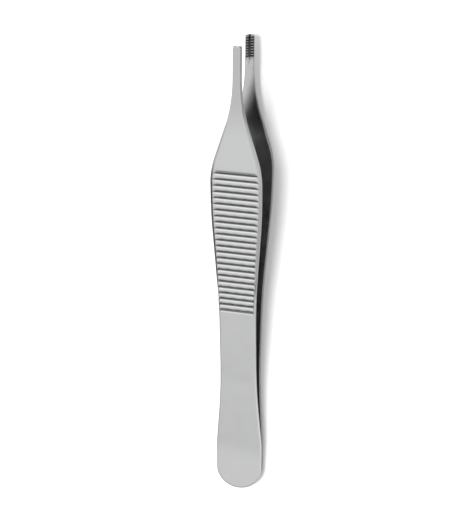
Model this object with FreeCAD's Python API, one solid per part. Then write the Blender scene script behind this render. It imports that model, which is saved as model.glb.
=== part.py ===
import FreeCAD, Part
import math
import os

# Thumb forceps with a ribbed grip and narrow toothed jaws, lying on one leaf.
# Two like leaves of satin steel are welded face to face at the heel and spring
# apart towards the tips. Each leaf is drawn in the frame of the plane between
# them: X across the leaf, Y from the heel's end to the tips, Z away from the
# plane. At the end the pair is tilted until the rear leaf lies on the table.
# The origin is then the bottom centre of the whole instrument. All sizes in mm.

os.makedirs("parts", exist_ok=True)
Vector = FreeCAD.Vector

# Outline of a leaf, seen from above: half widths, and where along the leaf they start or end
overall_length = 120.0
heel_half_width = 5.9
heel_end_radius = 5.8
heel_flank_y = 13.5
waist_half_width = 4.55
waist_start_y = 30.0
waist_end_y = 54.5
grip_half_width = 6.24
grip_widest_y = 78.5
shoulder_y = 89.6
throat_y = 106.0
jaw_half_width = 1.08
jaw_corner_radius = 0.2
heel_flank_radius = 51.0
waist_start_radius = 197.0
waist_end_radius = 177.0
grip_radius = 130.0
shoulder_radius = 21.7
throat_radius = 42.3

# Inner face of a leaf, seen from the side: half gaps between the two leaves
weld_length = 11.0
shoulder_half_gap = 5.76
tip_half_gap = 5.88
weld_bend_radius = 20.0
shoulder_bend_radius = 53.0

# Thickness of a leaf
heel_thickness = 1.35
spring_thickness = 1.38
spring_y = 32.0
grip_thickness = 1.87
grip_thick_y = 57.0
shoulder_thickness = 1.76
jaw_thickness = 1.41
jaw_start_y = 102.0
outer_bend_radius = 60.0

# Rounding and bevels of the outer edges
edge_radius = 0.25
grip_bevel_width = 0.62

# Cross ribs of the grip, between rounded grooves
groove_count = 24
groove_pitch = 1.594
first_groove_y = 89.2
groove_depth = 0.36
groove_margin = 0.42
crest_drop = 0.04
first_groove_ramp = 1.15
last_groove_ramp = 0.35

# Two rows of slanted teeth on the inner face of each jaw, with a channel between them
tooth_field_length = 5.8
tooth_pitch = 0.64
tooth_depth = 0.28
tooth_crest = 0.08
tooth_slant_deg = 20.0
channel_radius = 0.27
channel_depth = 0.5
channel_runout = 1.2

# Small overshoot of cutting tools past the faces that they cut
overshoot = 0.5


def rounded_path(corners, radii):
    """Straight runs through the corners, joined by tangent arcs that fit their runs."""
    edges = []
    start = corners[0]
    last = len(corners) - 1
    for i in range(1, last):
        corner = corners[i]
        back = corners[i - 1] - corner
        ahead = corners[i + 1] - corner
        room_back = back.Length * (0.99 if i == 1 else 0.49)
        room_ahead = ahead.Length * (0.99 if i == last - 1 else 0.49)
        back.normalize()
        ahead.normalize()
        half_angle = back.getAngle(ahead) / 2
        reach = min(radii[i - 1] / math.tan(half_angle), room_back, room_ahead)
        radius = reach * math.tan(half_angle)
        inward = (back + ahead).normalize()
        arc_start = corner + back * reach
        arc_middle = corner + inward * (radius / math.sin(half_angle) - radius)
        arc_end = corner + ahead * reach
        edges.append(Part.LineSegment(start, arc_start).toShape())
        edges.append(Part.Arc(arc_start, arc_middle, arc_end).toShape())
        start = arc_end
    edges.append(Part.LineSegment(start, corners[last]).toShape())
    return edges


def height_at(corners, y):
    """Height at y of the straight runs between the corners of a side profile."""
    for near, far in zip(corners, corners[1:]):
        if y <= far.y:
            break
    share = (y - near.y) / (far.y - near.y)
    return near.z + share * (far.z - near.z)


inner_corners = [
    Vector(0, 0, 0),
    Vector(0, weld_length, 0),
    Vector(0, shoulder_y, shoulder_half_gap),
    Vector(0, overall_length, tip_half_gap),
]


def outer_corner(y, thickness):
    """Corner of the outer profile, one thickness away from the inner face."""
    return Vector(0, y, height_at(inner_corners, y) + thickness)


outer_corners = [
    outer_corner(0, heel_thickness),
    outer_corner(weld_length, heel_thickness),
    outer_corner(spring_y, spring_thickness),
    outer_corner(grip_thick_y, grip_thickness),
    outer_corner(shoulder_y, shoulder_thickness),
    outer_corner(jaw_start_y, jaw_thickness),
    outer_corner(overall_length, jaw_thickness),
]
stack_height = max(corner.z for corner in outer_corners)


def outline_prism(inset):
    """Upright prism of the leaf's outline, drawn in from the true outline by inset."""
    corners = [
        Vector(0, inset, 0),
        Vector(heel_half_width - inset, inset, 0),
        Vector(heel_half_width - inset, heel_flank_y, 0),
        Vector(waist_half_width - inset, waist_start_y, 0),
        Vector(waist_half_width - inset, waist_end_y, 0),
        Vector(grip_half_width - inset, grip_widest_y, 0),
        Vector(grip_half_width - inset, shoulder_y, 0),
        Vector(jaw_half_width - inset, throat_y, 0),
        Vector(jaw_half_width - inset, overall_length - inset, 0),
        Vector(0, overall_length - inset, 0),
    ]
    radii = [
        heel_end_radius,
        heel_flank_radius,
        waist_start_radius,
        waist_end_radius,
        grip_radius,
        shoulder_radius,
        throat_radius,
        jaw_corner_radius,
    ]
    right_side = rounded_path(corners, radii)
    left_side = [edge.mirror(Vector(0, 0, 0), Vector(1, 0, 0)) for edge in right_side]
    outline = Part.Wire(Part.__sortEdges__(right_side + left_side))
    prism = Part.Face(outline).extrude(Vector(0, 0, stack_height + 2 * overshoot))
    prism.translate(Vector(0, 0, -overshoot))
    return prism


def across_prism(edges):
    """Prism of a side profile, wider than the leaf on both sides."""
    reach = max(heel_half_width, grip_half_width) + overshoot
    profile = Part.Wire(Part.__sortEdges__(edges))
    prism = Part.Face(profile).extrude(Vector(2 * reach, 0, 0))
    prism.translate(Vector(-reach, 0, 0))
    return prism


def straight(a, b):
    return Part.LineSegment(a, b).toShape()


def leaf_blank():
    """The plain leaf: its side profile within its outline, with rounded outer edges."""
    inner = rounded_path(inner_corners, [weld_bend_radius, shoulder_bend_radius])
    outer = rounded_path(outer_corners, [outer_bend_radius] * (len(outer_corners) - 2))
    ends = [
        straight(inner_corners[0], outer_corners[0]),
        straight(inner_corners[-1], outer_corners[-1]),
    ]
    blank = across_prism(inner + outer + ends).common(outline_prism(0))
    outer_faces = []
    side_faces = []
    for face in blank.Faces:
        normal = face.normalAt(*face.Surface.parameter(face.CenterOfMass))
        if normal.z > 0.7:
            outer_faces.append(face)
        elif abs(normal.z) < 0.3:
            side_faces.append(face)
    outer_rim = []
    for outer_face in outer_faces:
        for edge in outer_face.Edges:
            if any(edge.isSame(other) for face in side_faces for other in face.Edges):
                outer_rim.append(edge)
    thinnest = min(heel_thickness, spring_thickness, jaw_thickness, jaw_half_width)
    return blank.makeFillet(min(edge_radius, 0.3 * thinnest), outer_rim)


def grip_bevels():
    """Tools that bevel the long edges of the outer face where the grip is widest."""
    low, high = outer_corners[3], outer_corners[4]
    along = (high - low).normalize()
    away = Vector(0, -along.z, along.y)
    start = low - along * (grip_thick_y - waist_end_y)
    line_x = grip_half_width - grip_bevel_width
    size = 2 * grip_bevel_width
    tools = []
    for side in (-1, 1):
        corners = [
            start + Vector(side * (line_x - overshoot), 0, 0) + away * overshoot,
            start + Vector(side * (line_x + size), 0, 0) - away * size,
            start + Vector(side * (line_x + size), 0, 0) + away * overshoot,
        ]
        triangle = Part.Face(Part.makePolygon(corners + corners[:1]))
        tools.append(triangle.extrude(along * (throat_y - waist_end_y)))
    return tools


def groove_comb():
    """Everything above the rounded ribs of the grip, inside the leaf's outline."""
    groove_ys = [first_groove_y - groove_pitch * i for i in range(groove_count)]

    def at(y, depth):
        return Vector(0, y, height_at(outer_corners, y) - depth)

    start = at(first_groove_y + first_groove_ramp, -overshoot)
    ramp_top = at(first_groove_y + first_groove_ramp, 0)
    edges = [straight(start, ramp_top), straight(ramp_top, at(first_groove_y, groove_depth))]
    for upper, lower in zip(groove_ys, groove_ys[1:]):
        crest = at((upper + lower) / 2, crest_drop)
        edges.append(Part.Arc(at(upper, groove_depth), crest, at(lower, groove_depth)).toShape())
    last_y = groove_ys[-1]
    ramp_end = at(last_y - last_groove_ramp, 0)
    stop = at(last_y - last_groove_ramp, -overshoot)
    edges += [straight(at(last_y, groove_depth), ramp_end), straight(ramp_end, stop)]
    top = stack_height + overshoot
    roof_stop = Vector(0, stop.y, top)
    roof_start = Vector(0, start.y, top)
    edges += [straight(stop, roof_stop), straight(roof_stop, roof_start), straight(roof_start, start)]
    return across_prism(edges).common(outline_prism(groove_margin))


def tooth_cutters(phase):
    """V cuts across the jaw, slanted, with phase shifting them by a share of the pitch."""
    reach = 2 * jaw_half_width + overshoot
    half_width = (tooth_pitch - tooth_crest) / 2
    spread = half_width * (1 + overshoot / tooth_depth)
    cutters = []
    y = overall_length - tooth_pitch * (0.5 + phase)
    while y > overall_length - tooth_field_length + half_width:
        base = height_at(inner_corners, y)
        apex = Vector(0, y, base + tooth_depth)
        left = Vector(0, y - spread, base - overshoot)
        right = Vector(0, y + spread, base - overshoot)
        notch = Part.Face(Part.makePolygon([apex, left, right, apex]))
        cutter = notch.extrude(Vector(2 * reach, 0, 0))
        cutter.translate(Vector(-reach, 0, 0))
        cutter.rotate(Vector(0, y, 0), Vector(0, 0, 1), tooth_slant_deg)
        cutters.append(cutter)
        y -= tooth_pitch
    return cutters


def tooth_channel():
    """Round-bottomed channel between the tooth rows, running out towards the heel."""
    length = tooth_field_length + channel_runout
    slope = math.atan2(channel_depth, length)
    tip_level = tip_half_gap + channel_depth - channel_radius
    direction = Vector(0, -math.cos(slope), -math.sin(slope))
    start = Vector(0, overall_length, tip_level) - direction * overshoot
    bore = Part.makeCylinder(channel_radius, length + 2 * overshoot, start, direction)
    return bore


def leaf(phase):
    """One finished leaf, on the far side of the middle plane."""
    tools = grip_bevels() + [groove_comb(), tooth_channel()] + tooth_cutters(phase)
    return leaf_blank().cut(tools)


front_leaf = leaf(0.0)
rear_leaf = leaf(0.5).mirror(Vector(0, 0, 0), Vector(0, 0, 1))

# The steepest line from the heel's end to any part of the outer face is the table's
heel_corner = outer_corners[0]
rest_angle = max(
    math.atan2(corner.z - heel_corner.z, corner.y - heel_corner.y)
    for corner in outer_corners[1:]
)
pair = Part.makeCompound([rear_leaf, front_leaf])
pair.rotate(Vector(0, 0, 0), Vector(1, 0, 0), math.degrees(rest_angle))
box = pair.optimalBoundingBox(False, False)
pair.translate(Vector(0, -box.Center.y, -box.ZMin))
rear_leaf, front_leaf = pair.Solids

rear_leaf.exportStep("parts/rear_leaf.step")
front_leaf.exportStep("parts/front_leaf.step")

# Where the leaves flex: the end of the weld, on the middle plane
bend_y = weld_length * math.cos(rest_angle) - box.Center.y
bend_z = weld_length * math.sin(rest_angle) - box.ZMin
print("rest angle %.4f deg" % math.degrees(rest_angle))
print("bend axis along X at y %.4f z %.4f" % (bend_y, bend_z))
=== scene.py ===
import bpy
import bmesh
import math
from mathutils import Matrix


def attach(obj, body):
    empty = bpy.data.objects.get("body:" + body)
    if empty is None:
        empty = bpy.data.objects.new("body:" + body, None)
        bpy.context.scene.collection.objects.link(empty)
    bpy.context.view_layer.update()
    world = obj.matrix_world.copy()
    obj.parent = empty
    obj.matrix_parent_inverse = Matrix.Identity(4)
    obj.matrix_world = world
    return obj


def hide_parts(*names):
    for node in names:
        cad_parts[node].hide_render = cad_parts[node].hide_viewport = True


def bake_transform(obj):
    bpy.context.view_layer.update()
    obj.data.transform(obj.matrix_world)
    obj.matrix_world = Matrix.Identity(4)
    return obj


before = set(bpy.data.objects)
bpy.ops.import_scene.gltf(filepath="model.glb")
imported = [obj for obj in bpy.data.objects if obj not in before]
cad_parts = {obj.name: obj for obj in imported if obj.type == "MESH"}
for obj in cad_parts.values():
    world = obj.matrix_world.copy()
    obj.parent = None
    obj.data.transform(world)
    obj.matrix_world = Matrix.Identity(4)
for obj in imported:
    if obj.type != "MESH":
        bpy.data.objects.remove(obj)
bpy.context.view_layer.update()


# The finish. Both leaves are stainless steel with a fine satin finish from glass
# beads, which leaves an even, slightly cloudy grey with a grain too small to see.
# Grooves, teeth, bevels, sides, the jaw and the faces between the leaves are darkened by painted
# shade, mixed in from the dark colour set below.
steel_colour = (0.555, 0.557, 0.56, 1)
painted_shade_colour = (0.07, 0.07, 0.072, 1)
steel_roughness = (0.2, 0.26)
cloud_scale = 350
cloud_range = (0.3, 0.7)
grain_scale = 6000
grain_strength = 0.12
grain_height = 0.00004

satin_steel = bpy.data.materials.new("satin_steel")
satin_steel.use_nodes = True
links = satin_steel.node_tree.links
nodes = satin_steel.node_tree.nodes
steel_surface = nodes["Principled BSDF"]
steel_surface.inputs["Metallic"].default_value = 1
place = nodes.new("ShaderNodeTexCoord")

cloudiness = nodes.new("ShaderNodeTexNoise")
cloudiness.inputs["Scale"].default_value = cloud_scale
cloudiness.inputs["Detail"].default_value = 4
links.new(place.outputs["Object"], cloudiness.inputs["Vector"])
cloud_to_roughness = nodes.new("ShaderNodeMapRange")
cloud_to_roughness.inputs["From Min"].default_value = cloud_range[0]
cloud_to_roughness.inputs["From Max"].default_value = cloud_range[1]
cloud_to_roughness.inputs["To Min"].default_value = steel_roughness[0]
cloud_to_roughness.inputs["To Max"].default_value = steel_roughness[1]
links.new(cloudiness.outputs["Fac"], cloud_to_roughness.inputs["Value"])
links.new(cloud_to_roughness.outputs["Result"], steel_surface.inputs["Roughness"])

# Painted shade: a per-point shade attribute mixes the dark colour into the steel in the grooves,
# teeth, bevels, sides, jaw and between the leaves.
painted_shade = nodes.new("ShaderNodeAttribute")
painted_shade.attribute_name = "painted_shade"
painted_shade_mix = nodes.new("ShaderNodeMix")
painted_shade_mix.data_type = "RGBA"
painted_shade_mix.inputs["A"].default_value = steel_colour
painted_shade_mix.inputs["B"].default_value = painted_shade_colour
links.new(painted_shade.outputs["Fac"], painted_shade_mix.inputs["Factor"])
links.new(painted_shade_mix.outputs["Result"], steel_surface.inputs["Base Color"])

bead_grain = nodes.new("ShaderNodeTexNoise")
bead_grain.inputs["Scale"].default_value = grain_scale
bead_grain.inputs["Detail"].default_value = 2
links.new(place.outputs["Object"], bead_grain.inputs["Vector"])
grain_relief = nodes.new("ShaderNodeBump")
grain_relief.inputs["Strength"].default_value = grain_strength
grain_relief.inputs["Distance"].default_value = grain_height
links.new(bead_grain.outputs["Fac"], grain_relief.inputs["Height"])
links.new(grain_relief.outputs["Normal"], steel_surface.inputs["Normal"])


# The two leaves. Each is one strip of spring steel, forged and ground to its taper,
# with ribs, bevels and teeth milled into it. They are welded face to face at the heel.
# Sizes in mm, in the frame of the plane between the leaves: Y from heel to tips.
leaf_length = 120.0
heel_half_width = 5.9
jaw_half_width = 1.08

# Where along the leaf, how much there, and how far before and after it the line bends
half_widths = [
    (0, heel_half_width, 0), (13.5, heel_half_width, 2.1), (30, 4.55, 8.0), (54.5, 4.55, 6.2),
    (78.5, 6.24, 4.6), (89.6, 6.24, 3.3), (106, jaw_half_width, 6.5),
    (leaf_length, jaw_half_width, 0),
]
half_gaps = [(0, 0, 0), (11, 0, 0.73), (89.6, 5.76, 1.84), (leaf_length, 5.88, 0)]
outer_heights = [
    (0, 1.35, 0), (11, 1.35, 2.2), (32, 2.919, 0.55), (57, 5.241, 0.7), (89.6, 7.52, 2.8),
    (102, 7.219, 0.85), (leaf_length, 7.29, 0),
]

# The edges, and the bevels beside the ribs and along the neck
rim_radius = 0.25
jaw_rim_radius = 0.14
inner_rim_break = 0.05
jaw_draft = 0.17
jaw_corner_radius = 0.3
bevel_width = 0.62
bevel_slope = 0.57
neck_bevel_slope = 0.35

# The grip's grooves, the ribs between them, and the ramps above the first and below the last
groove_count = 24
groove_pitch = 1.594
first_groove_y = 89.02
last_groove_y = first_groove_y - groove_pitch * (groove_count - 1)
groove_depth = 0.36
groove_margin = 0.32
groove_end_run = (-0.06, 0.12)
groove_lean = -0.012
rib_height = 0.32
rib_crest = 0.4
crest_wander = 0.07
crest_waves_across = 2.3
crest_waves_by_rib = 1.9
first_ramp = 1.1
first_ramp_depth = 0.26
first_wall = 0.5
last_ramp = 0.35

# The jaw's two rows of slanted teeth, with a channel between them that is deepest at the tip
tooth_field_length = 5.8
tooth_pitch = 0.64
tooth_depth = 0.28
tooth_half_width = 0.2
tooth_slant = math.tan(math.radians(8))
channel_radius = 0.27
channel_tip_rise = 0.42
channel_length = 7.0

# Spans along the leaf in which one form passes into the next
bevel_widening = (40, 76)
groove_lean_start = (44, 51)
bevel_flattening = (88, 93)
groove_lean_end = (91, 98)
rim_narrowing = (96, 106)
neck_to_jaw = (97, 106)
tooth_lean_start = (109, 113.5)
tooth_lean_end = (119.1, 119.9)

# How much painted shade each form gets, where 1 is the full dark colour, and the span or depth it
# comes in over
groove_shade_depths = (0.24, groove_depth)
ramp_shade = 0.4
ramp_shade_depths = (0.02, 0.12)
bevel_shade = 0.14
bevel_shade_depths = (0, 0.06)
jaw_shade = 0.17
jaw_shade_span = (97, 108)
least_inner_shade = 0.09
body_inner_shade = 0.5
body_inner_end = (92, 99)
neck_inner_shade = 0.95
neck_inner_start = (92.5, 99.5)
neck_inner_end = (99, 111)
neck_inner_skew = 2.7
tooth_field_shade = 0.5
tooth_field_start = (114.3, 114.5)
notch_shade_depths = (0, 0.15)
heel_side_shade = 0.15
spring_side_shade = 0.4
spring_side_span = (15, 45)
jaw_side_shade = 0.23

# Where the mesh has its lines across the leaf and along it
flat_columns = 8
edge_columns = (0.56, 0.48, 0.4, 0.25, 0.073, 0)
jaw_columns = (
    0, 0.09, 0.18, 0.24, 0.262, 0.285, 0.4, 0.5, 0.6, 0.66, 0.72, 0.78, 0.83, 1.007,
    jaw_half_width,
)
heel_rows = (heel_half_width, 7.2, 8.6, 9.9, 10.6, 11.2, 12, 13, 14)
spring_rows = [15 + 1.2 * i for i in range(31)]
rib_row_steps = (0, 0.03, 0.09, 0.18, 0.3, 0.43, 0.57, 0.7, 0.82, 0.91, 0.97)
ramp_row_steps = (0, 0.1, 0.2, 0.45, 0.7, first_ramp, first_ramp + 0.05)
neck_rows = [91 + 0.75 * i for i in range(28)]
jaw_rows = (111.8, 112.3, 112.8, 113.3, 113.7)
notch_row_steps = (-0.214, -0.1, 0, 0.1, 0.214, 0.32)
notch_row_limit = 119.1
tip_rows = [119.15 + 0.05 * i for i in range(13)]
tip_rim_rows = (119.8, 119.86, 119.927, 119.965, leaf_length)
heel_steps = 28

# Points this near a line lie on it, and points this near each other are joined
on_line = 0.001
join_distance = 0.002
side_reach = 0.02
slope_step = 0.1
sharp_edge_angle = math.radians(28)

rest_angle = math.radians(3.9393)
rest_shift = (0, -60.0622, 1.3325)
mm = 0.001


def soft_line(stations, y):
    """Straight runs through the stations, each bend spread softly over its reach."""
    slopes = [(b[1] - a[1]) / (b[0] - a[0]) for a, b in zip(stations, stations[1:])]
    level = stations[0][1] + slopes[0] * (y - stations[0][0])
    for (where, _, reach), before, after in zip(stations[1:], slopes, slopes[1:]):
        past = min(max(y - where, -reach), reach)
        level += (after - before) * ((past + reach) ** 2 / (4 * reach) + max(y - where - reach, 0))
    return level


def eased(value, low, high):
    """0 below low, 1 above high, and smooth between them."""
    share = min(max((value - low) / (high - low), 0), 1)
    return share * share * (3 - 2 * share)


def edge_distance(x, y):
    """How far a point of the leaf's face lies inside the leaf's outline."""
    if y < heel_half_width:
        return heel_half_width - math.hypot(x, y - heel_half_width)
    half_width = soft_line(half_widths, y)
    slope = (soft_line(half_widths, y + slope_step) - half_width) / slope_step
    side = (half_width - abs(x)) / math.hypot(1, slope)
    corner_x = jaw_corner_radius - side
    corner_y = y - leaf_length + jaw_corner_radius
    if corner_x > 0 and corner_y > 0:
        return jaw_corner_radius - math.hypot(corner_x, corner_y)
    return min(side, leaf_length - y)


def groove_drop(x, y):
    """Depth of the grip's grooves, between ribs with a wandering crest and ramps at both ends."""
    y -= x * groove_lean
    if y > first_groove_y:
        past = y - first_groove_y
        ramp = first_ramp_depth * (1 - past / first_ramp)
        return max(ramp, groove_depth * (1 - past / first_wall), 0)
    if y < last_groove_y:
        return groove_depth * max(1 - (last_groove_y - y) / last_ramp, 0)
    half_pitch = groove_pitch / 2
    rib, from_upper = divmod((first_groove_y - y) / groove_pitch, 1)
    crest = rib_crest + crest_wander * math.sin(crest_waves_across * x + crest_waves_by_rib * rib)
    if from_upper < crest:
        from_crest = half_pitch * (from_upper / crest - 1)
    else:
        from_crest = half_pitch * (from_upper - crest) / (1 - crest)
    rib_radius = (half_pitch ** 2 + rib_height ** 2) / (2 * rib_height)
    foot = math.sqrt(rib_radius ** 2 - half_pitch ** 2)
    return groove_depth - (math.sqrt(rib_radius ** 2 - from_crest ** 2) - foot)


def bevel_line(y):
    """How far from the middle the bevels beside the grooves and the neck begin."""
    return soft_line(half_widths, y) - bevel_width * eased(y, *bevel_widening)


def groove_depth_at(x, y):
    """Depth of the grooves on the leaf, where they run out before its edges and bevels."""
    inside = min(edge_distance(x, y) - groove_margin, bevel_line(y) - abs(x))
    return groove_drop(x, y) * eased(inside, *groove_end_run)


def bevel_drop(x, y):
    """Depth of the bevels, which are flatter along the neck and end before the jaw."""
    flattening = (neck_bevel_slope - bevel_slope) * eased(y, *bevel_flattening)
    width_here = max(abs(x) - bevel_line(y), 0)
    return (bevel_slope + flattening) * width_here * (1 - eased(y, *neck_to_jaw))


def outer_height(x, y):
    """Height of the outer face over the middle plane."""
    carved = bevel_drop(x, y) + groove_depth_at(x, y)
    radius = rim_radius + (jaw_rim_radius - rim_radius) * eased(y, *rim_narrowing)
    short = max(radius - edge_distance(x, y), 0)
    rim = radius - math.sqrt(max(radius ** 2 - short ** 2, 0))
    return soft_line(outer_heights, y) - max(carved, rim)


def first_notch_y(phase):
    """Where the tooth notch nearest the tip lies, a share of a pitch further in on one leaf."""
    return leaf_length - tooth_pitch * (0.5 + phase)


def inner_cut(x, y, phase):
    """Depth of the jaw's teeth and channel, and of the broken edge, in the inner face."""
    cut = 0
    from_tip = leaf_length - y
    if from_tip < channel_length and abs(x) < channel_radius:
        axis = channel_tip_rise * (1 - from_tip / channel_length)
        axis -= channel_radius * from_tip / channel_length
        cut = max(axis + math.sqrt(channel_radius ** 2 - x ** 2), 0)
    along = first_notch_y(phase) - (y - x * tooth_slant)
    notch = round(along / tooth_pitch)
    notch_y = first_notch_y(phase) - notch * tooth_pitch
    if notch >= 0 and notch_y > leaf_length - tooth_field_length + tooth_half_width:
        off = abs(along - notch * tooth_pitch) * math.cos(math.atan(tooth_slant))
        cut = max(cut, tooth_depth * (1 - off / tooth_half_width))
    if edge_distance(x, y) < side_reach:
        cut = max(cut, inner_rim_break)
    return cut


def outer_shade(x, y):
    """Painted shade on the outer face: in its grooves and their ramp, on its bevels and along the
    jaw.
    """
    groove = groove_depth_at(x, y)
    shades = [
        eased(groove, *groove_shade_depths),
        bevel_shade * eased(bevel_drop(x, y), *bevel_shade_depths),
        jaw_shade * eased(y, *jaw_shade_span),
    ]
    if y > first_groove_y:
        shades.append(ramp_shade * eased(groove, *ramp_shade_depths))
    return max(shades)


def inner_shade(x, y, cut):
    """Painted shade on the inner face between the leaves and in the teeth, and a painted
    reflection of the front leaf along the neck.
    """
    body = body_inner_shade * (1 - eased(y, *body_inner_end))
    neck = neck_inner_shade * eased(y, *neck_inner_start)
    neck *= 1 - eased(y - neck_inner_skew * x, *neck_inner_end)
    teeth = tooth_field_shade * eased(y, *tooth_field_start)
    return max(body, neck, teeth, eased(cut, *notch_shade_depths), least_inner_shade)


def side_shade(y):
    """Painted shade on a leaf's sides, least at the heel and most along the jaw."""
    spring = spring_side_shade * eased(y, *spring_side_span)
    return heel_side_shade + spring + jaw_side_shade * eased(y, *jaw_shade_span)


def grid_columns(y):
    """Places across half a leaf where the mesh has its lines, from the middle to the edge."""
    half_width = soft_line(half_widths, y)
    flat = half_width - bevel_width
    body = [flat * i / flat_columns for i in range(flat_columns + 1)]
    body += [half_width - from_edge for from_edge in edge_columns]
    jaw = [part * half_width / jaw_half_width for part in jaw_columns]
    share = eased(y, *neck_to_jaw)
    return [b + share * (j - b) for b, j in zip(body, jaw)]


def grid_rows(phase):
    """Places along a leaf where the mesh has its lines, from the heel's round end to the tip."""
    rows = [*heel_rows, *spring_rows, *neck_rows, *jaw_rows, *tip_rows, *tip_rim_rows]
    rows += [last_groove_y - last_ramp, last_groove_y - last_ramp / 2]
    for rib in range(groove_count - 1):
        rows += [last_groove_y + groove_pitch * (rib + step) for step in rib_row_steps]
    rows += [first_groove_y + step for step in ramp_row_steps]
    notch = first_notch_y(phase)
    while notch > leaf_length - tooth_field_length + tooth_half_width:
        rows += [notch + step for step in notch_row_steps if notch + step < notch_row_limit]
        notch -= tooth_pitch
    return sorted(rows)


def face_place(row, column):
    """Where a line along the leaf and one across it meet, with the lean of grooves and teeth."""
    x = math.copysign(grid_columns(row)[abs(column)], column)
    lean = tooth_slant * eased(row, *tooth_lean_start) * (1 - eased(row, *tooth_lean_end))
    lean += groove_lean * eased(row, *groove_lean_start) * (1 - eased(row, *groove_lean_end))
    y = row + x * lean
    corner_x = abs(x) - jaw_half_width + jaw_corner_radius
    corner_y = y - leaf_length + jaw_corner_radius
    if corner_x > 0 and corner_y > 0:
        pull = max(corner_x, corner_y) / math.hypot(corner_x, corner_y)
        x = math.copysign(jaw_half_width - jaw_corner_radius + corner_x * pull, x)
        y = leaf_length - jaw_corner_radius + corner_y * pull
    return x, y, 0


def select_only(leaf, chosen):
    """Select the vertices of a mesh that chosen picks, and the edges between them."""
    bpy.ops.object.mode_set(mode="EDIT")
    bpy.ops.mesh.select_mode(type="VERT")
    bpy.ops.mesh.select_all(action="DESELECT")
    mesh = bmesh.from_edit_mesh(leaf.data)
    for vertex in mesh.verts:
        vertex.select = chosen(vertex.co)
    mesh.select_flush_mode()
    bmesh.update_edit_mesh(leaf.data)


def make_leaf(name, phase, side):
    """Model one leaf: its face as a grid, the heel spun round, then pulled up to thickness."""
    rows = grid_rows(phase)
    last_row = len(rows) - 1
    across = 2 * (len(jaw_columns) - 1)
    bpy.ops.object.select_all(action="DESELECT")
    bpy.ops.mesh.primitive_grid_add(x_subdivisions=across, y_subdivisions=last_row, size=1)
    leaf = bpy.context.object
    leaf.name = name
    leaf.data.name = name
    for vertex in leaf.data.vertices:
        column = round((vertex.co.x + 0.5) * across) - across // 2
        row = rows[round((vertex.co.y + 0.5) * last_row)]
        vertex.co = face_place(row, column)

    select_only(leaf, lambda at: at.y < heel_half_width + on_line and at.x > -on_line)
    bpy.ops.mesh.spin(
        steps=heel_steps, angle=math.pi, center=(0, heel_half_width, 0), axis=(0, 0, 1),
    )
    bpy.ops.mesh.select_all(action="SELECT")
    bpy.ops.mesh.remove_doubles(threshold=join_distance)
    bpy.ops.mesh.extrude_region_move(TRANSFORM_OT_translate={"value": (0, 0, 1)})
    bpy.ops.object.mode_set(mode="OBJECT")
    # Each point gets its painted shade: darker in the grooves, teeth, bevels, sides, jaw and
    # between the leaves.
    painted_shade_values = leaf.data.attributes.new("painted_shade", "FLOAT", "POINT")
    for vertex, painted_shade_point in zip(leaf.data.vertices, painted_shade_values.data):
        x, y, level = vertex.co
        if level > 0.5:
            inward = 1 - jaw_draft * eased(y, *neck_to_jaw) / soft_line(half_widths, y)
            vertex.co = (x * inward, y, outer_height(x, y))
            painted_shade_point.value = outer_shade(x, y)
        else:
            cut = inner_cut(x, y, phase)
            vertex.co.z = soft_line(half_gaps, y) + cut
            painted_shade_point.value = inner_shade(x, y, cut)
        if edge_distance(x, y) < side_reach:
            painted_shade_point.value = max(painted_shade_point.value, side_shade(y))
        vertex.co.z *= side

    bpy.ops.object.mode_set(mode="EDIT")
    bpy.ops.mesh.select_all(action="SELECT")
    bpy.ops.mesh.normals_make_consistent(inside=False)
    bpy.ops.object.mode_set(mode="OBJECT")
    leaf.rotation_euler.x = rest_angle
    leaf.location = [value * mm for value in rest_shift]
    leaf.scale = (mm, mm, mm)
    bpy.ops.object.transform_apply(location=True, rotation=True, scale=True)
    bpy.ops.object.shade_smooth_by_angle(angle=sharp_edge_angle)
    leaf.data.materials.append(satin_steel)
    return leaf


rear = make_leaf("rear_leaf_of_steel", phase=0.5, side=-1)
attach(rear, "rear_leaf")
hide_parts("rear_leaf")

# The front leaf. On the real instrument it is held by the weld and bends between it and the grip
# as the tips close; here its place is baked into its mesh.
front = make_leaf("front_leaf_of_steel", phase=0.0, side=1)
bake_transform(front)
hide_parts("front_leaf")


# The table. A plain sheet of pale matt board that the instrument lies on. It reaches past
# the view on all sides, shows white under the lamp, and holds a soft shadow.
table_colour = (0.74, 0.74, 0.74, 1)
table_size = 12.0
table_level = -0.00005

bpy.ops.object.select_all(action="DESELECT")
bpy.ops.mesh.primitive_plane_add(size=table_size, location=(0, 0, table_level))
table = bpy.context.object
table.name = "table"
table_paint = bpy.data.materials.new("pale_board")
table_paint.use_nodes = True
links = table_paint.node_tree.links
nodes = table_paint.node_tree.nodes
nodes["Principled BSDF"].inputs["Base Color"].default_value = table_colour
nodes["Principled BSDF"].inputs["Roughness"].default_value = 1
nodes["Principled BSDF"].inputs["Specular IOR Level"].default_value = 0
table.data.materials.append(table_paint)


# The light. A small studio tent with a pale ceiling and dark walls, a brighter patch in
# the ceiling beyond the tips, and a wide soft lamp above them and to their left. The
# steel shows the walls as dark lines along its edges, but not the lamp.
ceiling_level = 1.06
wall_level = 0.05
brightest_direction = (0.06, 0.34, 0.94)
wall_to_ceiling = (-0.05, 0.55)
patch_direction = (-0.235, 0.5, 0.83)
patch_level = 0.35
patch_edge = (0.78, 0.97)
lamp_direction = (-0.24, 0.16, 0.94)
lamp_distance = 1.0
lamp_power = 10.0
lamp_size = 0.42

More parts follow.
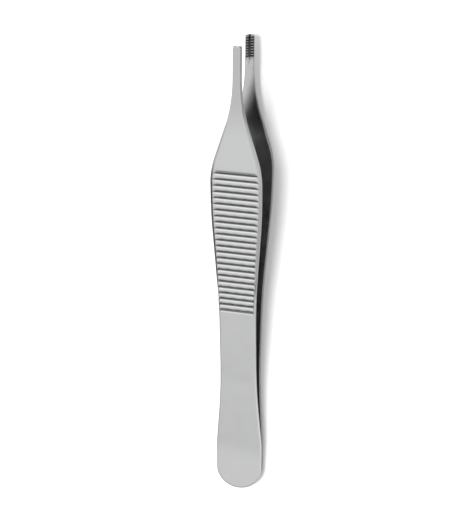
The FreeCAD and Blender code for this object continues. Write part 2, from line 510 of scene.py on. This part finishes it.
room = bpy.data.worlds.new("studio_tent")
bpy.context.scene.world = room
room.use_nodes = True
links = room.node_tree.links
nodes = room.node_tree.nodes
direction = nodes.new("ShaderNodeTexCoord")
towards_bright = nodes.new("ShaderNodeVectorMath")
towards_bright.operation = "DOT_PRODUCT"
towards_bright.inputs[1].default_value = brightest_direction
links.new(direction.outputs["Generated"], towards_bright.inputs[0])
level = nodes.new("ShaderNodeMapRange")
level.interpolation_type = "SMOOTHSTEP"
level.inputs["From Min"].default_value = wall_to_ceiling[0]
level.inputs["From Max"].default_value = wall_to_ceiling[1]
level.inputs["To Min"].default_value = wall_level
level.inputs["To Max"].default_value = ceiling_level
links.new(towards_bright.outputs["Value"], level.inputs["Value"])
towards_patch = nodes.new("ShaderNodeVectorMath")
towards_patch.operation = "DOT_PRODUCT"
towards_patch.inputs[1].default_value = patch_direction
links.new(direction.outputs["Generated"], towards_patch.inputs[0])
patch_glow = nodes.new("ShaderNodeMapRange")
patch_glow.interpolation_type = "SMOOTHSTEP"
patch_glow.inputs["From Min"].default_value = patch_edge[0]
patch_glow.inputs["From Max"].default_value = patch_edge[1]
patch_glow.inputs["To Max"].default_value = patch_level
links.new(towards_patch.outputs["Value"], patch_glow.inputs["Value"])
whole_level = nodes.new("ShaderNodeMath")
links.new(level.outputs["Result"], whole_level.inputs[0])
links.new(patch_glow.outputs["Result"], whole_level.inputs[1])
links.new(whole_level.outputs["Value"], nodes["Background"].inputs["Strength"])
nodes["Background"].inputs["Color"].default_value = (1, 1, 1, 1)

lamp_data = bpy.data.lights.new("tent_lamp", "AREA")
lamp_data.shape = "DISK"
lamp_data.size = lamp_size
lamp_data.energy = lamp_power
lamp = bpy.data.objects.new("tent_lamp", lamp_data)
bpy.context.scene.collection.objects.link(lamp)
lamp.location = [lamp_distance * part for part in lamp_direction]
lamp.visible_glossy = False
lamp_turn = math.atan2(lamp_direction[0], -lamp_direction[1])
lamp.rotation_euler = (math.acos(lamp_direction[2]), 0, lamp_turn)


# The camera. It stands over the right side of the tips, where the photograph's outlines
# show that it was taken from, and looks down at the whole instrument.
camera_lens = 96.97
sensor_width = 36
camera_place = (0.07662, 0.11158, 0.32881)
camera_angles = (-17.5699, 14.0730, 1.4221)

camera_data = bpy.data.cameras.new("camera")
camera_data.lens = camera_lens
camera_data.sensor_width = sensor_width
camera = bpy.data.objects.new("camera", camera_data)
bpy.context.scene.collection.objects.link(camera)
camera.location = camera_place
camera.rotation_euler = [math.radians(angle) for angle in camera_angles]
bpy.context.scene.camera = camera

bpy.context.scene.view_settings.view_transform = "Standard"
